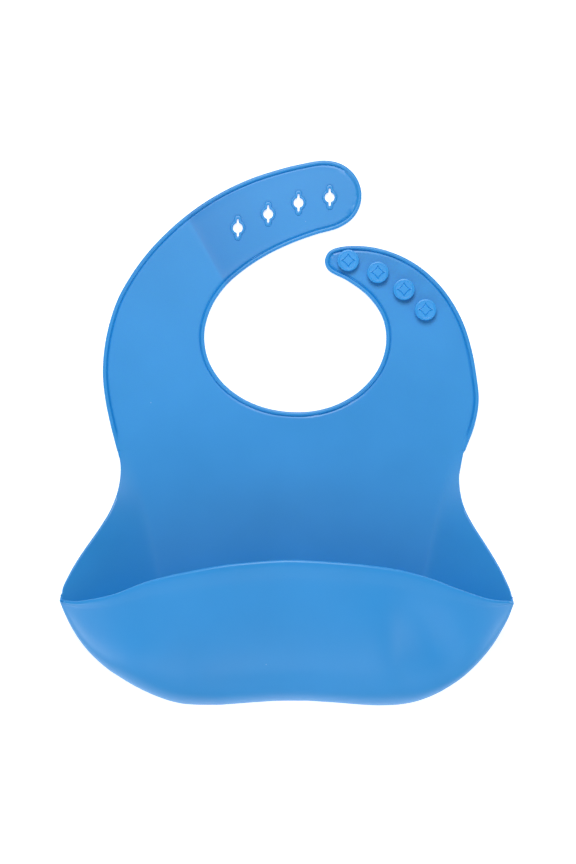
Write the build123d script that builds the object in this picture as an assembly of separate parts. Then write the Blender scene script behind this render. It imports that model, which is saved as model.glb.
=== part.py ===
from build123d import *
import math
import os

os.makedirs("parts", exist_ok=True)

# Silicone bib lying on its back: +X to the wearer's left as it faces you, +Y towards the neck straps, +Z out of the chest side.
# One soft moulding, split at the lines where the sheet bends, so that each stretch is a closed solid of its own.

# ---- driving dimensions, mm ----
SHEET = 1.6            # thickness of the moulded sheet
BEAD_W = 2.4           # width of the raised edge bead
BEAD_T = 2.6           # height of the bead above the resting plane
BEAD_END_Y = -3.0      # the outer beads run out here, just above the waist
HINGE_GAP = 0.3        # gap at mid-thickness between two stretches that bend against each other
POCKET_RIM_Z = 52.0    # height of the rim at its middle
FOLD_A_BASE = 18.0     # run of the rounded pocket floor, front to back
FOLD_B_BASE = 15.0     # rise of the rounded pocket floor
FRONT_GAP = 1.4        # gap between pocket floor and front wall, where the wall bends
HOLE_D = 5.5           # round eye of each keyhole
SLIT_W = 1.2           # slit through the eye
SLIT_L = 9.8           # slit, end to end
COLLAR_D = 8.4         # raised collar round the eye
COLLAR_LOBE_W = 4.2    # raised lobes round the slit ends
COLLAR_L = 14.3
COLLAR_T = 0.8
HEAD_D = 11.8          # button head
HEAD_T = 2.2
STEM_D = 5.2
STEM_L = 2.3
WING_SLOPE = (0.55, 0.62)   # slope of the left and right gusset away from the panel
WING_SOFT = 6.0        # distance over which that slope builds up

# upper outline, from the right waist round both straps and the neck to the left waist
UPPER = [(98.6, -10.2), (103.7, 3.5), (106.1, 17.4), (104.7, 31.9), (102.1, 45.9), (97.8, 59.7), (91.2, 72.4), (82.2, 83.8), (71.0, 93.0),
         (58.2, 99.3), (44.2, 102.6), (30.1, 102.4), (24.3, 100.5), (22.0, 98.0), (21.0, 94.8), (21.6, 91.5), (23.8, 88.6), (33.7, 83.4),
         (45.2, 74.6), (52.9, 63.0), (54.8, 49.6), (50.9, 35.8), (42.2, 24.6), (30.3, 16.5), (16.5, 12.0), (2.3, 11.2), (-11.9, 13.5),
         (-25.0, 19.1), (-36.2, 28.3), (-43.5, 40.7), (-45.4, 54.6), (-41.7, 68.6), (-33.9, 80.4), (-23.0, 90.0), (-11.0, 97.7),
         (2.1, 104.0), (15.8, 109.0), (29.2, 113.0), (36.5, 118.1), (40.7, 125.7), (41.0, 134.2), (37.4, 142.3), (30.6, 147.9),
         (21.3, 150.0), (7.6, 148.0), (-6.3, 144.5), (-19.6, 140.1), (-32.8, 134.2), (-45.4, 126.9), (-56.8, 118.6), (-67.7, 108.9),
         (-77.4, 98.4), (-86.0, 86.6), (-93.1, 74.0), (-97.8, 60.6), (-100.7, 46.4), (-101.6, 32.3), (-100.2, 17.9), (-97.3, 3.9),
         (-93.7, -10.1)]
# outer edges of the side gussets, waist to pocket corner
WING_L = [(-93.7, -10.1), (-92.7, -16.0), (-92.3, -21.9), (-92.7, -27.9), (-93.8, -33.7), (-95.7, -39.4), (-98.1, -44.8), (-101.1, -49.9),
          (-104.2, -54.8), (-107.5, -59.6), (-110.8, -64.4), (-114.0, -69.3), (-117.0, -74.3), (-119.7, -79.5), (-122.1, -84.8), (-123.3, -90.2)]
WING_R = [(98.6, -10.2), (97.0, -15.7), (96.0, -21.6), (95.7, -27.6), (96.1, -33.6), (97.3, -39.5), (99.4, -45.0), (102.1, -50.3),
          (105.1, -55.4), (108.2, -60.3), (111.3, -65.3), (114.3, -70.4), (117.1, -75.5), (119.6, -80.8), (121.9, -86.2), (123.4, -91.7)]
# the lowest edge of the pocket, left corner to right corner
BASE_LINE = [(-123.3, -90.2), (-120.5, -97.7), (-117.0, -105.0), (-112.9, -112.0), (-108.0, -118.5), (-102.5, -124.2), (-96.8, -129.1),
             (-90.8, -133.2), (-85.0, -136.9), (-78.0, -140.7), (-70.6, -144.1), (-62.9, -146.8), (-54.9, -148.4), (-46.7, -148.7),
             (-38.5, -148.7), (-30.3, -148.2), (-22.2, -147.6), (-14.0, -147.0), (-5.9, -146.5), (2.4, -146.4), (10.6, -146.4),
             (18.7, -146.9), (26.9, -147.4), (35.0, -148.1), (43.2, -148.7), (51.4, -149.0), (59.6, -148.8), (67.6, -147.6),
             (75.4, -145.2), (82.8, -141.8), (89.7, -137.6), (96.2, -132.8), (102.1, -127.2), (107.5, -121.1), (112.3, -114.6),
             (116.4, -107.6), (120.1, -100.5), (123.4, -91.7)]
# rim of the front wall, seen square on to the panel
RIM_LINE = [(-123.3, -90.2), (-120.1, -92.2), (-115.1, -92.8), (-105.6, -91.5), (-95.7, -89.3), (-73.9, -81.2), (-52.2, -76.0),
            (-25.2, -71.6), (1.7, -69.9), (28.7, -71.3), (55.7, -74.4), (77.4, -79.9), (91.0, -85.2), (104.8, -90.0), (111.9, -91.9),
            (118.1, -92.4), (123.4, -91.7)]
CREASE_L = ((-83.57, -14.88), (-53.46, -149.69))   # where the flat panel turns into the left gusset
CREASE_R = ((88.81, -14.88), (59.80, -149.69))
SLOTS = [(-27.0, 112.8), (-10.25, 120.5), (6.5, 126.7), (23.7, 129.7)]
BUTTONS = [(33.9, 94.7), (50.2, 88.1), (64.6, 78.7), (76.5, 67.5)]

# bend lines across the sheet: two points in plan, and the angles that each side opens to, up and down
BENDS = {
    "slotted_shoulder": ((-106.0, 35.9), (-41.0, 52.6), 75, 75),
    "slotted_step": ((-58.6, 124.9), (-31.6, 78.2), 60, 60),
    "slotted_tip": ((-10.4, 147.0), (6.0, 102.0), 50, 50),
    "button_shoulder": ((51.0, 51.7), (107.5, 43.6), 75, 75),
    "button_tip": ((47.4, 69.7), (68.0, 101.2), 45, 60),
    "waist": ((-101.0, -4.9), (106.0, -4.9), 60, 45),
}


def hermite(table):
    """A smooth monotone curve y(x) through a table of points."""
    xs = [p[0] for p in table]
    ys = [p[1] for p in table]
    n = len(xs)
    d = [(ys[i + 1] - ys[i]) / (xs[i + 1] - xs[i]) for i in range(n - 1)]
    m = [d[0]] + [0.0 if d[i - 1] * d[i] <= 0 else 2 * d[i - 1] * d[i] / (d[i - 1] + d[i]) for i in range(1, n - 1)] + [d[-1]]

    def f(x):
        i = 0
        while i < n - 2 and x > xs[i + 1]:
            i += 1
        h = xs[i + 1] - xs[i]
        t = (x - xs[i]) / h
        return (ys[i] * (1 + 2 * t) * (1 - t) ** 2 + h * m[i] * t * (1 - t) ** 2 + ys[i + 1] * t * t * (3 - 2 * t) - h * m[i + 1] * t * t * (1 - t))

    return f


base_y = hermite(BASE_LINE)
rim_y = hermite(RIM_LINE)


def rise(x, y):
    """How high the gussets stand over the panel's plane at a plan point; 0 over the flat panel."""
    total = 0.0
    for (p, q), side, slope in ((CREASE_L, -1, WING_SLOPE[0]), (CREASE_R, 1, WING_SLOPE[1])):
        tx, ty = q[0] - p[0], q[1] - p[1]
        n = math.hypot(tx, ty)
        nx, ny = -ty / n, tx / n
        if nx * side < 0:
            nx, ny = -nx, -ny
        d = (x - p[0]) * nx + (y - p[1]) * ny
        if d > 0:
            total += slope * d * d / (d + WING_SOFT)
    return total


def smooth(t):
    t = min(1.0, max(0.0, t))
    return t * t * (3 - 2 * t)


def sheet_z(x, y):
    """Mid-thickness height of the back sheet, panel and gussets."""
    return SHEET / 2 + smooth((-7.1 - y) / 52.5) * rise(x, y)


def fold_a(x):
    return FOLD_A_BASE - (FOLD_A_BASE - 4.0) * smooth((abs(x - 3) - 40) / 80)


def fold_b(x):
    return FOLD_B_BASE - (FOLD_B_BASE - 3.0) * smooth((abs(x - 3) - 40) / 80)


def base_z(x):
    return sheet_z(x, base_y(x)) + fold_b(x)


def rim_z(x):
    t = min(1.0, abs(x - 0.5) / 123.5)
    return 31.4 + (POCKET_RIM_Z - 31.4) * (1 - t ** 2.2) ** 0.9


def back_point(x, e):
    """A point of the back sheet at distance e in front of the pocket's lowest edge."""
    a, y = fold_a(x), base_y(x) + e
    z = sheet_z(x, y)
    if e < a:
        z += fold_b(x) * (1 - math.sqrt(max(0.0, 1 - ((a - e) / a) ** 2)))
    return Vector(x, y, z)


def front_point(x, v, start=FRONT_GAP):
    """A point of the front wall, v from 0 at its foot to 1 at the rim."""
    y0, z0, y3, z3 = base_y(x), base_z(x) + start, rim_y(x), rim_z(x)
    dy, dz = y3 - y0, max(0.3, z3 - z0)
    slope = 0.65 * math.atan2(dz, dy)
    run = 0.4 * math.hypot(dy, dz)
    y1, z1 = y0, z0 + 0.6 * dz
    y2, z2 = y3 - run * math.cos(slope), z3 - run * math.sin(slope)
    b = ((1 - v) ** 3, 3 * v * (1 - v) ** 2, 3 * v * v * (1 - v), v ** 3)
    return Vector(x, y0 * b[0] + y1 * b[1] + y2 * b[2] + y3 * b[3], z0 * b[0] + z1 * b[1] + z2 * b[2] + z3 * b[3])


def sheet_patch(rows, thickness, tol=0.03, degree=4):
    """A closed thin solid round a smooth face through a grid of mid-thickness points."""
    n, m = len(rows), len(rows[0])
    lower = []
    for i in range(n):
        line = []
        for j in range(m):
            du = rows[min(i + 1, n - 1)][j] - rows[max(i - 1, 0)][j]
            dv = rows[i][min(j + 1, m - 1)] - rows[i][max(j - 1, 0)]
            line.append(rows[i][j] - du.cross(dv).normalized() * (thickness / 2))
        lower.append(line)
    face = Face.make_surface_from_array_of_points(lower, tol=tol, min_deg=3, max_deg=degree)
    a, b = n // 2, m // 2
    up = (rows[min(a + 1, n - 1)][b] - rows[a - 1][b]).cross(rows[a][b + 1] - rows[a][b - 1])
    sign = 1 if face.normal_at(lower[a][b]).dot(up) > 0 else -1
    return Solid.thicken(face, sign * thickness)


def as_solids(shape):
    return list(shape.solids())


def pick(solids, x, y):
    """The solid whose plan centre is nearest to a point."""
    return min(solids, key=lambda s: math.hypot(s.center().X - x, s.center().Y - y))


# ---- flat sheet: the outline, its bead, and the cuts at the bend lines ----
outline = Spline(*UPPER)
FLOOR_GAP = 0.3     # the flat panel ends this far short of the rounded pocket floor


def crease_x(line, y):
    (x0, y0), (x1, y1) = line
    return x0 + (x1 - x0) * (y - y0) / (y1 - y0)


left_y = base_y(-57.5) + fold_a(-57.5) + FLOOR_GAP
left_foot = (crease_x(CREASE_L, left_y), left_y)
right_y = base_y(63.8) + fold_a(63.8) + FLOOR_GAP
right_foot = (crease_x(CREASE_R, right_y), right_y)
floor_pts = [left_foot] + [(x, base_y(x) + fold_a(x) + FLOOR_GAP) for x in (-45, -30, -15, 0, 15, 30, 48)] + [right_foot]
closing = Polyline(UPPER[-1], CREASE_L[0], left_foot) + Spline(*floor_pts) + Polyline(right_foot, CREASE_R[0], UPPER[0])
plan = make_face(Wire(list(outline.edges()) + list(closing.edges())))

# inner line of the bead, square to the outline all the way round
N_IN = 150
inner = []
for i in range(N_IN + 1):
    t = i / N_IN
    p, d = outline.position_at(t), outline.tangent_at(t)
    inner.append((p.X - d.Y * BEAD_W, p.Y + d.X * BEAD_W))
inside = [p for k, p in enumerate(inner) if not (p[1] < BEAD_END_Y and (k < 12 or k > N_IN - 12))]
edge_in = Spline(*inside)
frame_in = Polyline(inside[-1], (-130, inside[-1][1]), (-130, -170), (130, -170), (130, inside[0][1]), inside[0])
inner_face = make_face(Wire(list(edge_in.edges()) + list(frame_in.edges())))

plan_solid = extrude(plan, BEAD_T)
inner_solid = Pos(0, 0, -1) * extrude(inner_face, 6)
bead = plan_solid - inner_solid
web = extrude(plan, SHEET) & inner_solid


def bend_cutter(p, q, up, down):
    """A prism that is narrow at mid-thickness and opens to both faces, so that the two sides clear each other as they bend."""
    z0, top, bottom = SHEET / 2, 4.0, -1.0
    hu = HINGE_GAP / 2 + (top - z0) * math.tan(math.radians(up / 2)) + 0.12 * (top - z0)
    hd = HINGE_GAP / 2 + (z0 - bottom) * math.tan(math.radians(down / 2)) + 0.12 * (z0 - bottom)
    g = HINGE_GAP / 2
    length = math.hypot(q[0] - p[0], q[1] - p[1])
    plane = Plane(origin=(p[0], p[1], 0), x_dir=(-(q[1] - p[1]) / length, (q[0] - p[0]) / length, 0), z_dir=((q[0] - p[0]) / length, (q[1] - p[1]) / length, 0))
    # in this plane the local x is square to the bend line and the local y is up or down the row's Z
    s = 1 if plane.y_dir.Z > 0 else -1
    section = plane * make_face(Polyline((-g, s * z0), (-hu, s * top), (hu, s * top), (g, s * z0), (hd, s * bottom), (-hd, s * bottom), (-g, s * z0)))
    return extrude(section, length)


for name, (p, q, up, down) in BENDS.items():
    cutter = bend_cutter(p, q, up, down)
    bead = bead - cutter
    web = web - cutter

# keyholes through the slotted strap
for x, y in SLOTS:
    web = web - Pos(x, y, 0) * Cylinder(HOLE_D / 2, 10) - Pos(x, y, 0) * Box(SLIT_W, SLIT_L, 10)

webs, beads = as_solids(web), as_solids(bead)

parts = {}
parts["lower_panel"] = [pick(webs, 2, -70)]
parts["chest_panel"] = [pick(webs, 2, 10)]
parts["slotted_strap_root"] = [pick(webs, -68, 85)]
parts["slotted_strap_middle"] = [pick(webs, -28, 112)]
parts["slotted_strap_tip"] = [pick(webs, 18, 128)]
parts["button_strap_root"] = [pick(webs, 78, 68)]
parts["button_strap_tip"] = [pick(webs, 40, 90)]
print("flat webs", len(webs), "beads", len(beads))
for s in beads:
    c, b = s.center(), s.bounding_box()
    print("bead %.1f %.1f  vol %.1f  y %.1f..%.1f x %.1f..%.1f" % (c.X, c.Y, s.volume, b.min.Y, b.max.Y, b.min.X, b.max.X))


def beads_near(*points):
    return [pick(beads, *p) for p in points]


parts["neckline_bead"] = beads_near((3, 28))
parts["left_edge_bead"] = beads_near((-98, 18))
parts["right_edge_bead"] = beads_near((104, 20))
parts["slotted_strap_root_beads"] = beads_near((-82, 90), (-41, 66))
parts["slotted_strap_middle_beads"] = beads_near((-35, 132), (-16, 93))
parts["slotted_strap_tip_bead"] = beads_near((20, 128))
parts["button_strap_root_beads"] = beads_near((88, 75), (51, 62))
parts["button_strap_tip_bead"] = beads_near((40, 92))

# raised collars round the keyholes
for i, (x, y) in enumerate(SLOTS, 1):
    outer = extrude(Circle(COLLAR_D / 2) + Rot(0, 0, 90) * SlotOverall(COLLAR_L, COLLAR_LOBE_W), COLLAR_T)
    hole = extrude(Circle(HOLE_D / 2) + Rectangle(SLIT_W, SLIT_L), COLLAR_T)
    parts["keyhole_collar_%d" % i] = as_solids(Pos(x, y, SHEET) * (outer - hole))

# buttons: stem, head with a raised rim, and a shallow four-pointed dimple
for i, (x, y) in enumerate(BUTTONS, 1):
    stem = Pos(0, 0, SHEET + STEM_L / 2) * Cylinder(STEM_D / 2, STEM_L)
    z = SHEET + STEM_L
    head = Pos(0, 0, z + HEAD_T / 2) * Cylinder(HEAD_D / 2, HEAD_T)
    head = fillet(head.edges().group_by(Axis.Z)[0], 0.8)
    head = fillet(head.edges().group_by(Axis.Z)[-1], 0.5)
    head -= Pos(0, 0, z + HEAD_T) * Cylinder(HEAD_D / 2 - 1.5, 0.6)
    star = []
    for k in range(4):
        a = math.radians(90 * k)
        star.append((3.6 * math.cos(a), 3.6 * math.sin(a)))
        star.append((1.2 * math.cos(a + math.pi / 4), 1.2 * math.sin(a + math.pi / 4)))
    head -= Pos(0, 0, z + HEAD_T - 0.8) * extrude(make_face(Polyline(*star, star[0])), 2)
    parts["button_%d" % i] = as_solids(Pos(x, y, 0) * (stem + head))

# ---- pocket floor: the rounded trough under the front wall, between the two creases ----
rows = []
for i in range(19):
    u, row = i / 18, []
    for k in range(13):
        phi = math.radians(90 * k / 12)
        # quarter ellipse from the flat panel to the lowest edge, where it stands upright
        x = -57.6 + (63.9 + 57.6) * u
        for _ in range(3):
            e = fold_a(x) * (1 - math.sin(phi))
            y = base_y(x) + e
            x = crease_x(CREASE_L, y) * (1 - u) + crease_x(CREASE_R, y) * u
        row.append(Vector(x, base_y(x) + e, SHEET / 2 + fold_b(x) * (1 - math.cos(phi))))
    rows.append(row)
parts["pocket_floor"] = as_solids(sheet_patch(rows, SHEET))


# ---- side gussets: the sheet rising from the crease to the outer edge, and round the fold at the foot ----
def along(table, t):
    """A point at a share t of a polyline's length."""
    steps = [math.hypot(q[0] - p[0], q[1] - p[1]) for p, q in zip(table, table[1:])]
    left = t * sum(steps)
    for p, q, step in zip(table, table[1:], steps):
        if left <= step or q is table[-1]:
            w = left / step
            return p[0] + (q[0] - p[0]) * w, p[1] + (q[1] - p[1]) * w
        left -= step


def gusset(crease, wing, side):
    """A four-sided patch: crease, waist, outer edge, lowest edge."""
    foot_x = crease_x(crease, base_y(-53.5 if side < 0 else 59.8)) + side * 0.15
    tip_x = side * 121.9
    foot = [(foot_x + (tip_x - foot_x) * k / 40, base_y(foot_x + (tip_x - foot_x) * k / 40)) for k in range(41)]
    tip_y = foot[-1][1]
    outer = [p for p in wing if p[1] > tip_y + 6.0][::-1]
    outer = [(tip_x, tip_y + 4.2)] + outer
    c0, c1 = (foot_x, base_y(foot_x)), (crease[0][0] + side * 0.15, crease[0][1])
    rows = []
    for i in range(17):
        u, row = i / 16, []
        fx, fy = along(foot, u)
        tx, ty = c1[0] + (wing[0][0] - c1[0]) * u, c1[1] + (wing[0][1] - c1[1]) * u
        a = fold_a(fx)
        length = math.hypot(tx - fx, ty - fy)
        shares = [a * (1 - math.cos(math.radians(90 * k / 6))) / length for k in range(7)]
        if shares[-1] > 0.9:
            shares = [0.9 * q / shares[-1] for q in shares]
        shares += [shares[-1] + (1 - shares[-1]) * k / 13 for k in range(1, 14)]
        for v in shares:
            ox, oy = along(outer, v)
            cx, cy = c0[0] + (c1[0] - c0[0]) * v, c0[1] + (c1[1] - c0[1]) * v
            bl = (c0[0] * (1 - u) * (1 - v) + foot[-1][0] * u * (1 - v) + c1[0] * (1 - u) * v + wing[0][0] * u * v,
                  c0[1] * (1 - u) * (1 - v) + foot[-1][1] * u * (1 - v) + c1[1] * (1 - u) * v + wing[0][1] * u * v)
            x = (1 - v) * fx + v * tx + (1 - u) * cx + u * ox - bl[0]
            y = (1 - v) * fy + v * ty + (1 - u) * cy + u * oy - bl[1]
            row.append(back_point(x, max(0.0, y - base_y(x))))
        rows.append(row)
    return as_solids(sheet_patch(rows, SHEET))


# both stand a hair clear of the resting plane
parts["left_gusset"] = [Pos(-0.13, 0, 0.2) * s for s in gusset(CREASE_L, WING_L, -1)]
parts["right_gusset"] = [Pos(0, 0, 0.2) * s for s in gusset(CREASE_R, WING_R, 1)]

# ---- front wall and its rim lip ----
front_x = [-118.4 + 236.8 * i / 60 for i in range(61)]
RIM_V = 0.965
rows = [[front_point(x, RIM_V * k / 12) for k in range(13)] for x in front_x]
parts["pocket_front"] = as_solids(sheet_patch(rows, SHEET, 0.02, 3))
rows = [[front_point(x, RIM_V + 0.006 + (1 - RIM_V - 0.006) * k / 3) for k in range(4)] for x in front_x]
parts["pocket_rim"] = as_solids(sheet_patch(rows, 2.2, 0.02, 3))

# the two pocket corners, where the sheet folds back on itself
for name, side in (("left_corner_fold", -1), ("right_corner_fold", 1)):
    xs = [side * (118.8 + (123.3 - 118.8) * k / 6) for k in range(7)]
    low = [(x, base_y(x) + 0.6) for x in xs]
    high = [(x, rim_y(x) + 1.0) for x in xs[:-1]]
    shape = make_face(Polyline(*low, *high[::-1], low[0]))
    parts[name] = as_solids(Pos(0, 0, 30.0) * extrude(shape, 2.4))

# ---- origin at the middle of the resting side ----
boxes = [s.bounding_box() for group in parts.values() for s in group]
low = [min(b.min.X for b in boxes), min(b.min.Y for b in boxes), min(b.min.Z for b in boxes)]
high = [max(b.max.X for b in boxes), max(b.max.Y for b in boxes), max(b.max.Z for b in boxes)]
shift = (-(low[0] + high[0]) / 2, -(low[1] + high[1]) / 2, -low[2])
print("box", [round(h - l, 2) for h, l in zip(high, low)], "shift", [round(v, 3) for v in shift])
for name, group in parts.items():
    moved = [Pos(*shift) * Solid(s.wrapped) for s in group]
    shape = moved[0] if len(moved) == 1 else Compound(moved)
    export_step(shape, "parts/%s.step" % name)
    print(name, len(moved), round(sum(s.volume for s in moved), 1))
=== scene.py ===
import math
import bpy
import bmesh
import numpy as np
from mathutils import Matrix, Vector


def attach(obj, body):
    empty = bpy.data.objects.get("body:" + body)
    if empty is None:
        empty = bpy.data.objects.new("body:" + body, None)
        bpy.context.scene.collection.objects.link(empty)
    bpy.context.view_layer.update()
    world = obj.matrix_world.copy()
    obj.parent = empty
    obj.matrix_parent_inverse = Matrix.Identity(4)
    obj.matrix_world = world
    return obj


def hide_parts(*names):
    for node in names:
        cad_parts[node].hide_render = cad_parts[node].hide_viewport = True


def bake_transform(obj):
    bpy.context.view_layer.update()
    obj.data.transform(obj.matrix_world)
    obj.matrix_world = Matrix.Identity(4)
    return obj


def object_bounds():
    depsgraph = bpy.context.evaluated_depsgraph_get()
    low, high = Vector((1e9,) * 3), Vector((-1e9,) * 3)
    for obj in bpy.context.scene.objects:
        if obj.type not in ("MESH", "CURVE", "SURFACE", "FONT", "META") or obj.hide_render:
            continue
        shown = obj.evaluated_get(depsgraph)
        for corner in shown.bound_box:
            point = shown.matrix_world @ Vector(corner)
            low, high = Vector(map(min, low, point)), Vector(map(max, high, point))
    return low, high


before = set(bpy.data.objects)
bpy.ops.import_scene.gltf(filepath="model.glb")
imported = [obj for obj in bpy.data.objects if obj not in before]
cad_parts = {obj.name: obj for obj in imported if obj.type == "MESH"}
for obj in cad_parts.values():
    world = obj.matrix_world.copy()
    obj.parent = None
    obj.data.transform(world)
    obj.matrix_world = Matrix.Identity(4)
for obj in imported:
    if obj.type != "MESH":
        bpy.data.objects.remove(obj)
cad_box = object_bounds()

MM = 0.001
SHIFT = np.array([0.0, -0.091, 0.007])   # from the drawing's own axes to the frame's origin, mm
SHEET, BEAD_W, BEAD_T = 1.6, 2.4, 2.6

UPPER = [(98.6, -10.2), (103.7, 3.5), (106.1, 17.4), (104.7, 31.9), (102.1, 45.9), (97.8, 59.7), (91.2, 72.4), (82.2, 83.8), (71.0, 93.0),
         (58.2, 99.3), (44.2, 102.6), (30.1, 102.4), (24.3, 100.5), (22.0, 98.0), (21.0, 94.8), (21.6, 91.5), (23.8, 88.6), (33.7, 83.4),
         (45.2, 74.6), (52.9, 63.0), (54.8, 49.6), (50.9, 35.8), (42.2, 24.6), (30.3, 16.5), (16.5, 12.0), (2.3, 11.2), (-11.9, 13.5),
         (-25.0, 19.1), (-36.2, 28.3), (-43.5, 40.7), (-45.4, 54.6), (-41.7, 68.6), (-33.9, 80.4), (-23.0, 90.0), (-11.0, 97.7),
         (2.1, 104.0), (15.8, 109.0), (29.2, 113.0), (36.5, 118.1), (40.7, 125.7), (41.0, 134.2), (37.4, 142.3), (30.6, 147.9),
         (21.3, 150.0), (7.6, 148.0), (-6.3, 144.5), (-19.6, 140.1), (-32.8, 134.2), (-45.4, 126.9), (-56.8, 118.6), (-67.7, 108.9),
         (-77.4, 98.4), (-86.0, 86.6), (-93.1, 74.0), (-97.8, 60.6), (-100.7, 46.4), (-101.6, 32.3), (-100.2, 17.9), (-97.3, 3.9),
         (-93.7, -10.1)]
WING_L = [(-93.7, -10.1), (-92.7, -16.0), (-92.3, -21.9), (-92.7, -27.9), (-93.8, -33.7), (-95.7, -39.4), (-98.1, -44.8), (-101.1, -49.9),
          (-104.2, -54.8), (-107.5, -59.6), (-110.8, -64.4), (-114.0, -69.3), (-117.0, -74.3), (-119.7, -79.5), (-122.1, -84.8), (-122.9, -88.4)]
WING_R = [(98.6, -10.2), (97.0, -15.7), (96.0, -21.6), (95.7, -27.6), (96.1, -33.6), (97.3, -39.5), (99.4, -45.0), (102.1, -50.3),
          (105.1, -55.4), (108.2, -60.3), (111.3, -65.3), (114.3, -70.4), (117.1, -75.5), (119.6, -80.8), (121.9, -86.2), (122.8, -89.4)]
BASE_LINE = [(-123.3, -90.6), (-120.5, -97.7), (-117.0, -105.0), (-112.9, -112.0), (-108.0, -118.5), (-102.5, -124.2), (-96.8, -129.1),
             (-90.8, -133.2), (-85.0, -136.9), (-78.0, -140.7), (-70.6, -144.1), (-62.9, -146.8), (-54.9, -148.4), (-46.7, -148.7),
             (-38.5, -148.7), (-30.3, -148.2), (-22.2, -147.6), (-14.0, -147.0), (-5.9, -146.5), (2.4, -146.4), (10.6, -146.4),
             (18.7, -146.9), (26.9, -147.4), (35.0, -148.1), (43.2, -148.7), (51.4, -149.0), (59.6, -148.8), (67.6, -147.6),
             (75.4, -145.2), (82.8, -141.8), (89.7, -137.6), (96.2, -132.8), (102.1, -127.2), (107.5, -121.1), (112.3, -114.6),
             (116.4, -107.6), (120.1, -100.5), (123.3, -92.0)]
RIM_LINE = [(-122.2, -91.9), (-120.1, -92.4), (-115.1, -92.8), (-105.6, -91.5), (-95.7, -89.3), (-73.9, -81.2), (-52.2, -76.0),
            (-25.2, -71.6), (1.7, -69.9), (28.7, -71.3), (55.7, -74.4), (77.4, -79.9), (91.0, -85.2), (104.8, -90.0), (111.9, -91.9),
            (118.1, -92.6), (122.2, -92.6)]
CREASE_L = ((-83.57, -14.88), (-53.46, -149.69))
CREASE_R = ((88.81, -14.88), (59.80, -149.69))
WING_SLOPE, WING_SOFT = (0.55, 0.62), 6.0
SLOTS = [(-27.0, 112.8), (-10.25, 120.5), (6.5, 126.7), (23.7, 129.7)]
BUTTONS = [(33.9, 94.7), (50.2, 88.1), (64.6, 78.7), (76.5, 67.5)]


# ------------------------------------------------------------------ curves
def spline(points, n):
    """A smooth curve through points, n samples evenly along it."""
    p = np.array(points, float)
    t = np.concatenate([[0], np.cumsum(np.sqrt(np.linalg.norm(np.diff(p, axis=0), axis=1)))])
    m = np.gradient(p, t, axis=0)
    out = []
    for i in range(len(p) - 1):
        h = t[i + 1] - t[i]
        s = np.linspace(0, 1, 40, endpoint=False)[:, None]
        out.append(p[i] * (1 + 2 * s) * (1 - s) ** 2 + h * m[i] * s * (1 - s) ** 2 + p[i + 1] * s * s * (3 - 2 * s) - h * m[i + 1] * s * s * (1 - s))
    q = np.concatenate(out + [p[-1:]])
    return even(q, n)


def lengths(q):
    return np.concatenate([[0], np.cumsum(np.linalg.norm(np.diff(q, axis=0), axis=1))])


def even(q, n):
    a = lengths(q)
    s = np.linspace(0, a[-1], n)
    return np.stack([np.interp(s, a, q[:, k]) for k in range(q.shape[1])], axis=1)


def at(q, s):
    a = lengths(q)
    return np.stack([np.interp(s, a, q[:, k]) for k in range(q.shape[1])], axis=-1)


def nearest_s(q, point):
    a = lengths(q)
    return a[np.argmin(np.linalg.norm(q - np.array(point), axis=1))]


def smooth(t):
    t = np.clip(t, 0, 1)
    return t * t * (3 - 2 * t)


OUT = spline(UPPER, 2400)
EDGE = OUT


def edge_distance(p):
    """Distance of plan points from the moulded edge."""
    d = np.full(len(p), 1e9)
    a, b = EDGE[:-1], EDGE[1:]
    ab = b - a
    ll = (ab ** 2).sum(1)
    for i in range(0, len(p), 400):
        q = p[i:i + 400]
        w = np.clip(((q[:, None] - a) * ab).sum(2) / ll, 0, 1)
        c = a + w[..., None] * ab
        d[i:i + 400] = np.sqrt(((q[:, None] - c) ** 2).sum(2).min(1))
    return d


def bead_share(p):
    """1 where the edge carries the raised bead, running out above the waist."""
    return np.where(np.abs(p[:, 0]) > 75, smooth((p[:, 1] + 6.0) / 9.0), 1.0)


def top_z(p, d):
    share = bead_share(p)
    plain = 1.6 - 0.62 * np.clip(1 - d / 0.62, 0, 1) ** 2
    x = np.clip((d - 1.15) / 1.15, -1, 1)
    bead = 1.25 + 1.35 * np.clip(1 - np.abs(x) ** 3.4, 0, 1) ** 0.5
    groove = 1.6 - 0.38 * np.exp(-((d - 2.5) / 0.24) ** 2)
    beaded = np.where(d < 2.3, np.maximum(bead, np.where(d > 1.2, groove, 0)), groove)
    return plain * (1 - share) + beaded * share


def bottom_z(d):
    return 0.62 * np.clip(1 - d / 0.62, 0, 1) ** 2


# ------------------------------------------------------------------ mesh helpers
def make(name, verts, faces, material, sharp=()):
    mesh = bpy.data.meshes.new(name)
    v = (np.asarray(verts) + SHIFT) * MM
    mesh.from_pydata(v.tolist(), [], faces)
    mesh.update()
    bm = bmesh.new()
    bm.from_mesh(mesh)
    bmesh.ops.remove_doubles(bm, verts=bm.verts, dist=1e-7)
    bmesh.ops.dissolve_degenerate(bm, edges=bm.edges, dist=1e-7)
    bmesh.ops.recalc_face_normals(bm, faces=bm.faces)
    bm.to_mesh(mesh)
    bm.free()
    mesh.polygons.foreach_set("use_smooth", [True] * len(mesh.polygons))
    mesh.set_sharp_from_angle(angle=math.radians(50))
    mesh.materials.append(material)
    obj = bpy.data.objects.new(name, mesh)
    bpy.context.scene.collection.objects.link(obj)
    return obj


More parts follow.
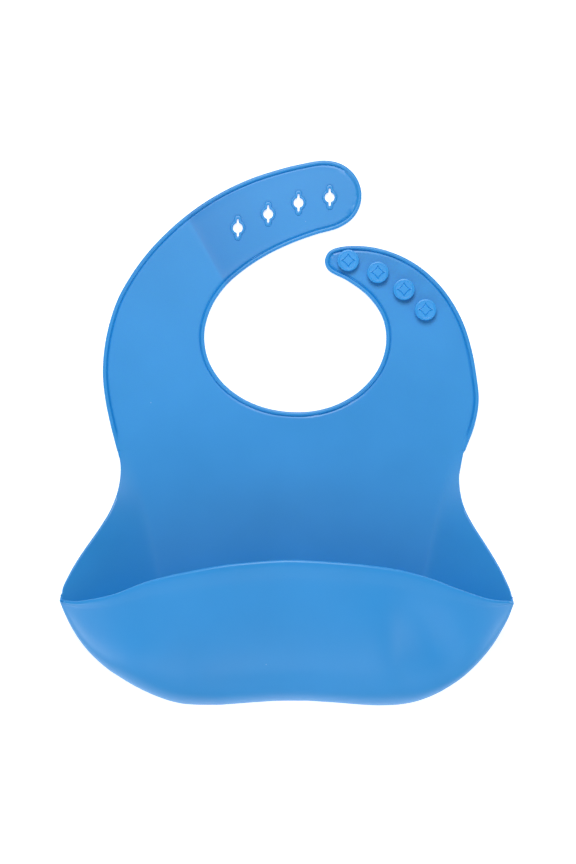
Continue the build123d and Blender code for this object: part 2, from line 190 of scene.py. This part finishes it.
def slab(name, lines, material, zs=None):
    """A closed sheet from cross lines (arrays of the same length) with its top and bottom heights."""
    n, m = len(lines), len(lines[0])
    p = np.concatenate(lines)
    d = edge_distance(p)
    top = np.column_stack([p, top_z(p, d)])
    bot = np.column_stack([p, bottom_z(d)])
    if zs is not None:
        top[:, 2] += zs(p, d)
    verts = np.concatenate([top, bot])
    N, faces = n * m, []
    for i in range(n - 1):
        for j in range(m - 1):
            a, b, c, e = i * m + j, i * m + j + 1, (i + 1) * m + j + 1, (i + 1) * m + j
            faces.append((a, b, c, e))
            faces.append((N + e, N + c, N + b, N + a))
    ring = [i * m for i in range(n)] + [(n - 1) * m + j for j in range(1, m)] + [i * m + m - 1 for i in range(n - 2, -1, -1)] + [j for j in range(m - 2, 0, -1)]
    for a, b in zip(ring, ring[1:] + ring[:1]):
        if (a // m == b // m == 0 and np.allclose(verts[a, :2], verts[b, :2])) or (a // m == b // m == n - 1 and np.allclose(verts[a, :2], verts[b, :2])):
            continue
        faces.append((a, a + N, b + N, b))
    return make(name, verts, faces, material)


# ------------------------------------------------------------------ materials
def silicone(name, tone=1.0, bump=0.12, shade_past_step=False):
    mat = bpy.data.materials.new(name)
    mat.use_nodes = True
    t = mat.node_tree
    b = t.nodes["Principled BSDF"]
    b.inputs["Roughness"].default_value = 0.5
    b.inputs["IOR"].default_value = 1.5
    b.inputs["Specular IOR Level"].default_value = 0.7
    b.inputs["Subsurface Weight"].default_value = 0.08
    b.inputs["Subsurface Radius"].default_value = (0.15, 0.3, 0.6)
    b.inputs["Subsurface Scale"].default_value = 0.003
    b.inputs["Sheen Weight"].default_value = 0.0
    b.inputs["Sheen Roughness"].default_value = 0.5
    coord = t.nodes.new("ShaderNodeTexCoord")
    big = t.nodes.new("ShaderNodeTexNoise")
    big.inputs["Scale"].default_value = 14
    big.inputs["Detail"].default_value = 3
    ramp = t.nodes.new("ShaderNodeValToRGB")
    lo, hi = (0.005, 0.240, 0.62), (0.010, 0.268, 0.68)
    ramp.color_ramp.elements[0].position, ramp.color_ramp.elements[1].position = 0.3, 0.7
    ramp.color_ramp.elements[0].color = (*[c * tone for c in lo], 1)
    ramp.color_ramp.elements[1].color = (*[c * tone for c in hi], 1)
    dust = t.nodes.new("ShaderNodeTexVoronoi")
    dust.inputs["Scale"].default_value = 95
    spot = t.nodes.new("ShaderNodeMapRange")
    spot.inputs["From Min"].default_value, spot.inputs["From Max"].default_value = 0.018, 0.034
    spot.inputs["To Min"].default_value, spot.inputs["To Max"].default_value = 0.35, 0.0
    keep = t.nodes.new("ShaderNodeMath")
    keep.operation = "MULTIPLY"
    rare = t.nodes.new("ShaderNodeMapRange")
    rare.inputs["From Min"].default_value, rare.inputs["From Max"].default_value = 0.80, 0.86
    mix = t.nodes.new("ShaderNodeMix")
    mix.data_type = "RGBA"
    mix.inputs["B"].default_value = (0.5, 0.68, 0.86, 1)
    sep = t.nodes.new("ShaderNodeSeparateColor")
    rough = t.nodes.new("ShaderNodeMapRange")
    rough.inputs["To Min"].default_value, rough.inputs["To Max"].default_value = 0.36, 0.47
    fine = t.nodes.new("ShaderNodeTexNoise")
    fine.inputs["Scale"].default_value = 1500
    fine.inputs["Detail"].default_value = 4
    bmp = t.nodes.new("ShaderNodeBump")
    bmp.inputs["Strength"].default_value = bump
    bmp.inputs["Distance"].default_value = 0.0002
    L = t.links.new
    for n in (big, dust, fine):
        L(coord.outputs["Object"], n.inputs["Vector"])
    L(big.outputs["Fac"], ramp.inputs["Fac"])
    L(dust.outputs["Distance"], spot.inputs["Value"])
    L(dust.outputs["Color"], sep.inputs["Color"])
    L(sep.outputs["Red"], rare.inputs["Value"])
    L(spot.outputs["Result"], keep.inputs[0])
    L(rare.outputs["Result"], keep.inputs[1])
    L(keep.outputs["Value"], mix.inputs["Factor"])
    L(ramp.outputs["Color"], mix.inputs["A"])
    if shade_past_step:                                                # past the step the colour darkens: painted shade standing in for the shade after the step
        zone = t.nodes.new("ShaderNodeAttribute")
        zone.attribute_name = "painted_step_shade"
        dark = t.nodes.new("ShaderNodeMix")
        dark.data_type = "RGBA"
        dark.inputs["B"].default_value = (0.004, 0.165, 0.50, 1)
        L(zone.outputs["Fac"], dark.inputs["Factor"])
        L(mix.outputs["Result"], dark.inputs["A"])
        L(dark.outputs["Result"], b.inputs["Base Color"])
    else:
        L(mix.outputs["Result"], b.inputs["Base Color"])
    L(big.outputs["Fac"], rough.inputs["Value"])
    L(rough.outputs["Result"], b.inputs["Roughness"])
    L(fine.outputs["Fac"], bmp.inputs["Height"])
    L(bmp.outputs["Normal"], b.inputs["Normal"])
    return mat


SIL = silicone("blue_silicone")
# the buttons use a lighter copy of the same silicone: painted light on the raised buttons
SIL_BUTTON_LIT = silicone("blue_silicone_button_painted_light", 1.12, 0.06)
# the strap material darkens past the step with painted shade
SIL_STRAP_SHADED = silicone("blue_silicone_strap_painted_shade", shade_past_step=True)

# ------------------------------------------------------------------ the C-shaped band: straps and chest
i_tip_b = int(np.argmin(np.linalg.norm(OUT - np.array((21.0, 94.8)), axis=1)))
i_tip_s = int(np.argmin(np.linalg.norm(OUT - np.array((41.0, 134.2)), axis=1)))
INNER = OUT[i_tip_b:i_tip_s + 1][::-1]                       # slotted tip, round the neck, button tip
SEAM_Y = -10.1
seam = np.column_stack([np.linspace(-93.7, 98.6, 400), np.full(400, SEAM_Y)])
OUTER = np.concatenate([OUT[i_tip_s:], seam[1:-1], OUT[:i_tip_b + 1]])
KEYS = [((41.0, 134.2), (41.0, 134.2)), ((29.2, 113.0), (21.3, 150.0)), ((6.0, 105.6), (-8.5, 143.9)), ((-34.5, 79.8), (-57.5, 118.0)), ((-45.4, 51.5), (-101.3, 38.0)),
        ((-37.5, 27.0), (-93.7, -10.1)), ((2.3, 11.2), (2.3, SEAM_Y)), ((43.5, 26.0), (98.6, -10.2)), ((54.9, 51.2), (103.2, 42.0)),
        ((48.3, 71.2), (66.5, 95.6)), ((27.5, 86.4), (33.0, 102.9)), ((21.0, 94.8), (21.0, 94.8))]
ks = [(nearest_s(INNER, a), nearest_s(OUTER, b)) for a, b in KEYS]
ki, ko = np.array([k[0] for k in ks]), np.array([k[1] for k in ks])
# stations as fractional key numbers
COUNTS = [26, 22, 34, 40, 34, 34, 34, 26, 24, 22, 16]
ts = np.concatenate([np.linspace(i, i + 1, c, endpoint=False) for i, c in enumerate(COUNTS)] + [[float(len(COUNTS))]])
# closer together towards both rounded tips
first = ts < 1
ts[first] = ts[first] ** 1.9
last = ts > len(COUNTS) - 1
ts[last] = len(COUNTS) - (len(COUNTS) - ts[last]) ** 1.6
from_key = np.arange(len(ki))


def pchip(x, y, q):
    d = np.diff(y) / np.diff(x)
    m = np.zeros(len(x))
    m[0], m[-1] = d[0], d[-1]
    for i in range(1, len(x) - 1):
        m[i] = 0 if d[i - 1] * d[i] <= 0 else 2 * d[i - 1] * d[i] / (d[i - 1] + d[i])
    i = np.clip(np.searchsorted(x, q, side="right") - 1, 0, len(x) - 2)
    h = x[i + 1] - x[i]
    t = (q - x[i]) / h
    return y[i] * (1 + 2 * t) * (1 - t) ** 2 + h * m[i] * t * (1 - t) ** 2 + y[i + 1] * t * t * (3 - 2 * t) - h * m[i + 1] * t * t * (1 - t)


PI = at(INNER, pchip(from_key, ki, ts))
PO = at(OUTER, pchip(from_key, ko, ts))
STEPS = np.array([0, .1, .25, .45, .7, .95, 1.2, 1.45, 1.7, 1.9, 2.1, 2.3, 2.45, 2.6, 2.85, 3.3, 4.2])
HALF = 22


def cross_line(a, b):
    n = np.linalg.norm(b - a)
    k = min(1.0, n / 14.0)
    near = STEPS * k
    mid = np.linspace(near[-1], n / 2, HALF - len(STEPS) + 1)[1:]
    left = np.concatenate([near, mid])
    d = np.concatenate([left, (n - left[:-1])[::-1]])
    u = (b - a) / max(n, 1e-9)
    return a + d[:, None] * u


LINES = [cross_line(a, b) for a, b in zip(PI, PO)]


def line_through(x, y):
    """Key number of the cross line that passes nearest to a point."""
    best = []
    for line in LINES:
        a, b = line[0], line[-1]
        ab = b - a
        w = np.clip(((x, y) - a) @ ab / max(ab @ ab, 1e-9), 0, 1)
        best.append(np.linalg.norm(a + w * ab - (x, y)))
    return ts[int(np.argmin(best))]


def cut(lo, hi):
    i0, i1 = int(np.argmin(np.abs(ts - lo))), int(np.argmin(np.abs(ts - hi)))
    return LINES[i0:i1 + 1]


def step_run(p):
    """Plan distance past the step line, towards the strap's tip."""
    a, b = np.array((-58.6, 124.9)), np.array((-31.6, 78.2))
    t = (b - a) / np.linalg.norm(b - a)
    n = np.array((-t[1], t[0]))
    if n[0] < 0:
        n = -n
    return (p - a) @ n


def paint_step_shade(obj):
    """Sets a painted-shade weight on the vertices past the step, fading towards the tip."""
    co = np.zeros(len(obj.data.vertices) * 3)
    obj.data.vertices.foreach_get("co", co)
    run = step_run(co.reshape(-1, 3)[:, :2] / MM - SHIFT[:2])
    att = obj.data.attributes.new("painted_step_shade", "FLOAT", "POINT")
    att.data.foreach_set("value", 0.55 * smooth((run + 0.6) / 1.6) * np.exp(-np.clip(run, 0, None) / 26.0))


def step_relief(p, d):
    """The slotted strap is moulded a little thinner past the step, with a soft hollow after it."""
    s = step_run(p)
    on_strap = (p[:, 1] > 70) & (p[:, 0] < 45)
    inside = smooth((d - 2.4) / 1.5)
    fall = -0.06 * smooth((s + 1.0) / 2.0) - 0.16 * smooth((s + 1.0) / 5.0) * np.exp(-np.clip(s, 0, None) / 18.0)
    return np.where(on_strap, fall * inside, 0.0)


pieces = {}
T_TIP = line_through(-18.6, 116.7)                           # between the first and second keyholes
pieces["slotted_strap_tip_skin"] = slab("slotted_strap_tip_skin", cut(0, T_TIP), SIL_STRAP_SHADED, step_relief)
pieces["slotted_strap_middle_skin"] = slab("slotted_strap_middle_skin", cut(T_TIP, 3.50), SIL_STRAP_SHADED, step_relief)
pieces["slotted_strap_root_skin"] = slab("slotted_strap_root_skin", cut(3.50, 4.45), SIL, step_relief)
pieces["chest_skin"] = slab("chest_skin", cut(4.45, 7.55), SIL)
pieces["button_strap_root_skin"] = slab("button_strap_root_skin", cut(7.55, 8.62), SIL)
pieces["button_strap_tip_skin"] = slab("button_strap_tip_skin", cut(8.62, 11), SIL)


# ------------------------------------------------------------------ keyholes
def keyhole_outline(r, half_len, half_w, n=18):
    """A round eye with a slit up and down, as one loop of points."""
    a0 = math.asin(min(0.999, half_w / r))
    pts = []
    # right arc from the top slit to the bottom slit, clockwise
    for k in range(n + 1):
        a = math.pi / 2 - a0 - (math.pi - 2 * a0) * k / n
        pts.append((r * math.cos(a), r * math.sin(a)))
    for k in range(1, 8):
        a = -math.pi * k / 8
        pts.append((half_w * math.cos(a), -(half_len - half_w) + half_w * math.sin(a)))
    for k in range(n + 1):
        a = -math.pi / 2 - a0 - (math.pi - 2 * a0) * k / n
        pts.append((r * math.cos(a), r * math.sin(a)))
    for k in range(1, 8):
        a = math.pi - math.pi * k / 8
        pts.append((half_w * math.cos(a), (half_len - half_w) + half_w * math.sin(a)))
    return np.array(pts)


def resample_by_angle(loop, n=96):
    closed = np.concatenate([loop, loop[:1]])
    return even(closed, n + 1)[:-1]


def prism(name, loop, z0, z1):
    n = len(loop)
    v = np.concatenate([np.column_stack([loop, np.full(n, z0)]), np.column_stack([loop, np.full(n, z1)])])
    f = [tuple(range(n))[::-1], tuple(range(n, 2 * n))] + [(i, (i + 1) % n, n + (i + 1) % n, n + i) for i in range(n)]
    return make(name, v, f, SIL)


def collar(name, x, y, base):
    hole = resample_by_angle(keyhole_outline(2.72, 4.85, 0.62))
    outer = resample_by_angle(keyhole_outline(4.2, 7.1, 2.0))
    rings = []
    prof = [(0.0, -0.35), (0.0, 0.42), (0.10, 0.62), (0.26, 0.70), (0.72, 0.70), (0.88, 0.60), (0.96, 0.36), (1.0, 0.0), (1.0, -0.35)]
    for share, z in prof:
        r = hole * (1 - share) + outer * share
        rings.append(np.column_stack([r + (x, y), np.full(len(r), base + z)]))
    n, faces = len(hole), []
    v = np.concatenate(rings)
    for k in range(len(prof)):
        k2 = (k + 1) % len(prof)
        for i in range(n):
            j = (i + 1) % n
            faces.append((k * n + i, k * n + j, k2 * n + j, k2 * n + i))
    return make(name, v, faces, SIL)


def boolean_cut(obj, cutter):
    m = obj.modifiers.new("cut", "BOOLEAN")
    m.operation, m.solver, m.object = "DIFFERENCE", "EXACT", cutter
    dg = bpy.context.evaluated_depsgraph_get()
    new = bpy.data.meshes.new_from_object(obj.evaluated_get(dg))
    obj.modifiers.clear()
    old = obj.data
    obj.data = new
    bpy.data.meshes.remove(old)
    bpy.data.objects.remove(cutter)


collars = {}
for i, (x, y) in enumerate(SLOTS, 1):
    target = pieces["slotted_strap_middle_skin" if i < 2 else "slotted_strap_tip_skin"]
    boolean_cut(target, prism("cutter_%d" % i, keyhole_outline(2.74, 4.87, 0.63) + (x, y), -2, 5))
    z = 1.6 + float(step_relief(np.array([[x, y]]), np.array([20.0]))[0])
    collars[i] = collar("keyhole_collar_skin_%d" % i, x, y, z)
for name in ("slotted_strap_middle_skin", "slotted_strap_tip_skin"):
    pieces[name].data.set_sharp_from_angle(angle=math.radians(50))
    # paint shade into the strap colour past the step
    paint_step_shade(pieces[name])


# ------------------------------------------------------------------ pocket: gussets, floor and front wall in one sheet
base_xy, rim_xy = np.array(BASE_LINE), np.array(RIM_LINE)
base_y = lambda x: pchip(base_xy[:, 0], base_xy[:, 1], np.asarray(x, float))
rim_y = lambda x: pchip(rim_xy[:, 0], rim_xy[:, 1], np.asarray(x, float))


def sheet_z(x, y):
    total = np.zeros_like(x)
    for (p, q), side, slope in ((CREASE_L, -1, WING_SLOPE[0]), (CREASE_R, 1, WING_SLOPE[1])):
        tx, ty = q[0] - p[0], q[1] - p[1]
        n = math.hypot(tx, ty)
        nx, ny = -ty / n, tx / n
        if nx * side < 0:
            nx, ny = -nx, -ny
        d = np.clip((x - p[0]) * nx + (y - p[1]) * ny, 0, None)
        total += slope * d * d / (d + WING_SOFT)
    return SHEET / 2 + smooth((-7.1 - y) / 52.5) * total


def fold(x):
    t = smooth((np.abs(x - 3) - 40) / 80)
    return 18.0 - 15.6 * t, 15.0 - 13.0 * t


def rim_z(x):
    t = np.clip(np.abs(x - 0.5) / 123.5, 0, 1)
    return 31.4 + 20.6 * (1 - t ** 2.2) ** 0.9


def pocket():
    wing_l, wing_r = spline(WING_L, 300), spline(WING_R, 300)
    base = np.column_stack([np.linspace(-122.9, 122.9, 1500), base_y(np.linspace(-122.9, 122.9, 1500))])
    for w, side in ((wing_l, 1), (wing_r, -1)):               # room for the rounded edge
        tan = np.gradient(w, axis=0)
        tan /= np.linalg.norm(tan, axis=1, keepdims=True)
        inset = 0.8 - 0.45 * smooth(lengths(w) / 30.0)
        w += inset[:, None] * side * np.column_stack([-tan[:, 1], tan[:, 0]])
    wing_l[0], wing_r[0] = (-92.9, SEAM_Y), (97.8, SEAM_Y)
    sl, sr = nearest_s(base, (-53.5, -148.5)), nearest_s(base, (59.8, -148.8))
    total = lengths(base)[-1]
    n_w, n_m, n_c = 46, 50, 8
    T, S = [], []
    # left corner to left waist, waist to crease, across, and the same back on the right
    wl = wing_l[::-1]
    a = np.linspace(0, 1, n_w, endpoint=False) ** 1.25
    T += list(at(wl, a * lengths(wl)[-1])); S += list(at(base, a * sl * 0.86))
    b = np.linspace(0, 1, n_c, endpoint=False)
    T += [np.array((-92.9 + (-83.57 + 92.9) * k, SEAM_Y)) for k in b]; S += list(at(base, sl * (0.86 + 0.14 * b)))
    c = np.linspace(0, 1, n_m, endpoint=False)
    T += [np.array((-83.57 + (88.81 + 83.57) * k, SEAM_Y)) for k in c]; S += list(at(base, sl + (sr - sl) * c))
    T += [np.array((88.81 + (97.8 - 88.81) * k, SEAM_Y)) for k in b]; S += list(at(base, sr + (total - sr) * 0.14 * b))
    e = 1 - (1 - np.linspace(0, 1, n_w + 1)) ** 1.25
    T += list(at(wing_r, e * lengths(wing_r)[-1])); S += list(at(base, sr + (total - sr) * (0.14 + 0.86 * e)))
    T, S = np.array(T), np.array(S)
    cols = len(T)
    Rx = S[:, 0] * (122.2 / 123.3)
    R = np.column_stack([Rx, rim_y(Rx)])
    fa, fb = fold(S[:, 0])
    n_f, n_b, n_r = 14, 44, 46
    grid = []
    L = np.linalg.norm(T - S, axis=1)
    for i in range(cols):
        col = []
        ee = fa[i] * (1 - np.cos(np.linspace(0, math.pi / 2, n_f)))
        if fa[i] > 0.8 * L[i]:
            ee *= 0.8 * L[i] / fa[i]
        aa = ee[-1]
        far = aa + (L[i] - aa) * np.linspace(0, 1, n_b + 1)[1:]
        ds = np.concatenate([ee, far])[::-1]
        u = (T[i] - S[i]) / L[i]
        p = S[i] + ds[:, None] * u
        z = sheet_z(p[:, 0], p[:, 1])
        inside = ds < aa
        z = z + np.where(inside, fb[i] * (1 - np.sqrt(np.clip(1 - (np.clip(aa - ds, 0, None) / aa) ** 2, 0, 1))), 0)
        col += list(np.column_stack([p, z]))
        z0 = z[-1]
        run3 = np.linalg.norm(R[i] - S[i])
        z3 = rim_z(R[i, 0])
        dz = max(0.6, z3 - z0)
        slope = 0.65 * math.atan2(dz, run3)
        hand = 0.4 * math.hypot(run3, dz)
        v = np.linspace(0, 1, n_r + 1)[1:]
        v = v ** 1.15
        h = 3 * v * v * (1 - v) * (run3 - hand * math.cos(slope)) + v ** 3 * run3
        zz = z0 * (1 - v) ** 3 + 3 * v * (1 - v) ** 2 * (z0 + 0.6 * dz) + 3 * v * v * (1 - v) * (z0 + dz - hand * math.sin(slope)) + v ** 3 * (z0 + dz)
        w = (R[i] - S[i]) / run3
        q = S[i] + h[:, None] * w
        # a shallow hollow in the front wall and a soft swelling beside it
        x, y = q[:, 0], q[:, 1]
        body = smooth(v / 0.35) * smooth((1 - v) / 0.25)
        dent = -3.4 * np.exp(-(((x - 79 + 0.35 * (y + 116)) / 17) ** 2 + ((y + 114) / 21) ** 2)) + 1.6 * np.exp(-(((x - 52) / 15) ** 2 + ((y + 110) / 26) ** 2))
        dent += 1.2 * np.exp(-(((x + 84) / 14) ** 2 + ((y + 124) / 14) ** 2)) - 1.2 * np.exp(-((x / 60) ** 2 + ((y + 138) / 8) ** 2))
        col += list(np.column_stack([q, zz + dent * body]))
        grid.append(col)
    g = np.array(grid)
    rows = g.shape[1]
    # normals of the mid surface
    du, dv = np.gradient(g, axis=0), np.gradient(g, axis=1)
    nrm = np.cross(du, dv)
    nrm /= np.maximum(np.linalg.norm(nrm, axis=2, keepdims=True), 1e-9)
    if nrm[cols // 2, rows // 4, 2] < 0:
        nrm = -nrm
    th = np.full((cols, rows), SHEET)
    tail = np.arange(rows)[::-1]
    lip = np.concatenate([[1.0, 1.0, 0.85, 0.25], np.zeros(rows - 4)])[::-1]
    th += 0.7 * lip[None, :]
    up = g + nrm * (th / 2)[..., None]
    dn = g - nrm * (th / 2)[..., None]
    ring = [(i, 0) for i in range(cols)] + [(cols - 1, j) for j in range(1, rows)] + [(i, rows - 1) for i in range(cols - 2, -1, -1)] + [(0, j) for j in range(rows - 2, 0, -1)]
    mids = []
    for k in (0.25, 0.5, 0.75):
        for (i, j) in ring:
            if j == 0:
                out = g[i, 0] - g[i, 1]
                if i in (0, cols - 1):
                    out = out + (g[i, 0] - g[1 if i == 0 else cols - 2, 0])
            elif j == rows - 1:
                out = g[i, j] - g[i, j - 1]
            else:
                out = g[i, j] - g[1 if i == 0 else cols - 2, j]
            nn = nrm[i, j]
            out = out - nn * (out @ nn)
            out = out / max(np.linalg.norm(out), 1e-9)
            r = th[i, j] / 2
            push = r * math.sin(math.pi * k)
            if j == 0 and abs(g[i, 0, 1] - SEAM_Y) < 0.05:
                push = 0.0
                if abs(g[i, 0, 0] + 92.9) < 0.02 or abs(g[i, 0, 0] - 97.8) < 0.02:
                    out, push = np.array((np.sign(g[i, 0, 0]), 0, 0)), r * math.sin(math.pi * k)
            mids.append(g[i, j] + nn * r * math.cos(math.pi * k) + out * push)
    n = cols * rows
    verts = np.concatenate([up.reshape(-1, 3), dn.reshape(-1, 3), np.array(mids)])
    faces = []
    for i in range(cols - 1):
        for j in range(rows - 1):
            a, b, c, e2 = i * rows + j, (i + 1) * rows + j, (i + 1) * rows + j + 1, i * rows + j + 1
            faces.append((a, b, c, e2))
            faces.append((n + e2, n + c, n + b, n + a))
    m = len(ring)
    idx = [i * rows + j for i, j in ring]
    for k in range(m):
        k2 = (k + 1) % m
        chain = [idx[k], 2 * n + k, 2 * n + m + k, 2 * n + 2 * m + k, n + idx[k]]
        chain2 = [idx[k2], 2 * n + k2, 2 * n + m + k2, 2 * n + 2 * m + k2, n + idx[k2]]
        for q in range(4):
            faces.append((chain[q], chain[q + 1], chain2[q + 1], chain2[q]))
    return make("pocket_skin", verts, faces, SIL)


pieces["pocket_skin"] = pocket()

# ------------------------------------------------------------------ buttons
def button(name, x, y):
    """A round head on a short stem, with a thin raised ring and a concave four-pointed star in its top."""
    n = 144
    a = np.linspace(0, 2 * math.pi, n, endpoint=False)
    under = [(0.0, 1.0), (2.6, 1.0), (2.6, 3.9), (5.55, 3.9), (5.8, 4.05), (5.9, 4.3), (5.9, 5.6), (5.82, 5.85), (5.62, 6.0)]
    rs = np.concatenate([np.linspace(5.45, 4.6, 8), np.linspace(4.5, 0.12, 46)])
    rings = [np.column_stack([r * np.cos(a), r * np.sin(a), np.full(n, z)]) for r, z in under[1:]]
    for r in rs:
        px, py = r * np.cos(a), r * np.sin(a)
        p = 0.74
        f = (np.abs(px) ** p + np.abs(py) ** p) ** (1 / p) - 4.2
        z = 5.96 + 0.14 * np.exp(-((r - 5.1) / 0.24) ** 2) - 0.10 * smooth((4.95 - r) / 0.3)
        z = z + 0.13 * np.exp(-(f / 0.24) ** 2) - 0.34 * np.exp(-((f + 0.50) / 0.24) ** 2)
        rings.append(np.column_stack([px, py, z]))
    v = np.concatenate(rings + [np.array([[0, 0, 1.0], [0, 0, rings[-1][:, 2].mean()]])]) + (x, y, 0)
    f = []
    for k in range(len(rings) - 1):
        for i in range(n):
            j = (i + 1) % n
            f.append((k * n + i, k * n + j, (k + 1) * n + j, (k + 1) * n + i))
    m = len(rings) * n
    for i in range(n):
        j = (i + 1) % n
        f.append((m, j, i))
        f.append((m + 1, (len(rings) - 1) * n + i, (len(rings) - 1) * n + j))
    return make(name, v, f, SIL_BUTTON_LIT)


buttons = {i: button("button_skin_%d" % i, x, y) for i, (x, y) in enumerate(BUTTONS, 1)}


def bend(piece, p, q, beyond):
    """Takes the bend line p-q and its side towards `beyond`, then only bakes the piece's transform into its mesh;
    nothing is bent or blended.
    """
    p, q = np.array(p, float), np.array(q, float)
    mid = (p + q) / 2
    t = (q - p) / np.linalg.norm(q - p)
    n = np.array((-t[1], t[0]))
    if (np.array(beyond) - mid) @ n < 0:
        n = -n
    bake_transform(piece)


bend(pieces["slotted_strap_root_skin"], (-106.0, 35.9), (-41.0, 52.6), (-80, 85))
bend(pieces["slotted_strap_middle_skin"], (-58.6, 124.9), (-31.6, 78.2), (-20, 113))
bend(pieces["slotted_strap_tip_skin"], (-10.4, 147.0), (6.0, 102.0), (20, 128))
bend(pieces["button_strap_root_skin"], (51.0, 51.7), (107.5, 43.6), (78, 68))
bend(pieces["button_strap_tip_skin"], (47.4, 69.7), (68.0, 101.2), (40, 90))
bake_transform(pieces["chest_skin"])
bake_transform(pieces["pocket_skin"])
for i in (1, 2):
    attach(collars[i], "slotted_middle")
for i in (3, 4):
    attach(collars[i], "slotted_tip")
    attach(buttons[i], "button_root")
for i in (1, 2):
    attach(buttons[i], "button_tip")

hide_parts("slotted_strap_tip", "slotted_strap_tip_bead")
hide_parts("slotted_strap_middle", "slotted_strap_middle_beads")
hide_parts("slotted_strap_root", "slotted_strap_root_beads")
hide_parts("chest_panel", "neckline_bead", "left_edge_bead", "right_edge_bead")
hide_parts("button_strap_root", "button_strap_root_beads")
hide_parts("button_strap_tip", "button_strap_tip_bead")
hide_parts("lower_panel", "pocket_floor", "left_gusset", "right_gusset", "pocket_front", "pocket_rim", "left_corner_fold", "right_corner_fold")
for i in range(1, 5):
    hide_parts("keyhole_collar_%d" % i)
    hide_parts("button_%d" % i)

# ------------------------------------------------------------------ stage, light, camera
floor_mesh = bpy.data.meshes.new("floor")
s = 6.0
floor_mesh.from_pydata([(-s, -s, 0), (s, -s, 0), (s, s, 0), (-s, s, 0)], [], [(0, 1, 2, 3)])
floor = bpy.data.objects.new("floor", floor_mesh)
bpy.context.scene.collection.objects.link(floor)
floor.location.z = min(0.0, float(cad_box[0][2])) - 0.0004
fm = bpy.data.materials.new("pale_floor")
fm.use_nodes = True
fm.node_tree.nodes["Principled BSDF"].inputs["Base Color"].default_value = (0.93, 0.93, 0.935, 1)
fm.node_tree.nodes["Principled BSDF"].inputs["Roughness"].default_value = 0.9
fm.node_tree.nodes["Principled BSDF"].inputs["Emission Color"].default_value = (1, 1, 1, 1)
fm.node_tree.nodes["Principled BSDF"].inputs["Emission Strength"].default_value = 0.55
floor_mesh.materials.append(fm)

scene = bpy.context.scene
scene.view_settings.view_transform = "Standard"
world = bpy.data.worlds.new("studio")
scene.world = world
world.use_nodes = True
world.node_tree.nodes["Background"].inputs["Color"].default_value = (1, 1, 1, 1)
world.node_tree.nodes["Background"].inputs["Strength"].default_value = 0.36


def area(name, loc, target, size, energy, color=(1, 1, 1)):
    light = bpy.data.lights.new(name, "AREA")
    light.energy, light.size, light.color = energy, size, color
    obj = bpy.data.objects.new(name, light)
    obj.location = loc
    obj.rotation_euler = (Vector(target) - Vector(loc)).to_track_quat("-Z", "Y").to_euler()
    bpy.context.scene.collection.objects.link(obj)


area("top_soft", (-0.03, 0.64, 0.98), (0, 0.0, 0), 0.5, 8.8)
area("front_soft", (0.0, -0.95, 0.8), (0, 0.0, 0), 0.6, 1.6)
area("left_low", (-0.7, -0.6, 0.42), (0, -0.05, 0), 0.35, 2.4)
area("right_low", (0.75, -0.55, 0.42), (0, -0.05, 0), 0.35, 2.0)

cam_data = bpy.data.cameras.new("camera")
cam = bpy.data.objects.new("camera", cam_data)
scene.collection.objects.link(cam)
DIST = 2.0
cam.location = (0.0007, 0.0, DIST)
cam_data.sensor_fit = "VERTICAL"
cam_data.sensor_height = 24.0
cam_data.lens = 24.0 * DIST / (864 * 0.5525 * MM)
cam_data.clip_start, cam_data.clip_end = 0.05, 30
scene.camera = cam
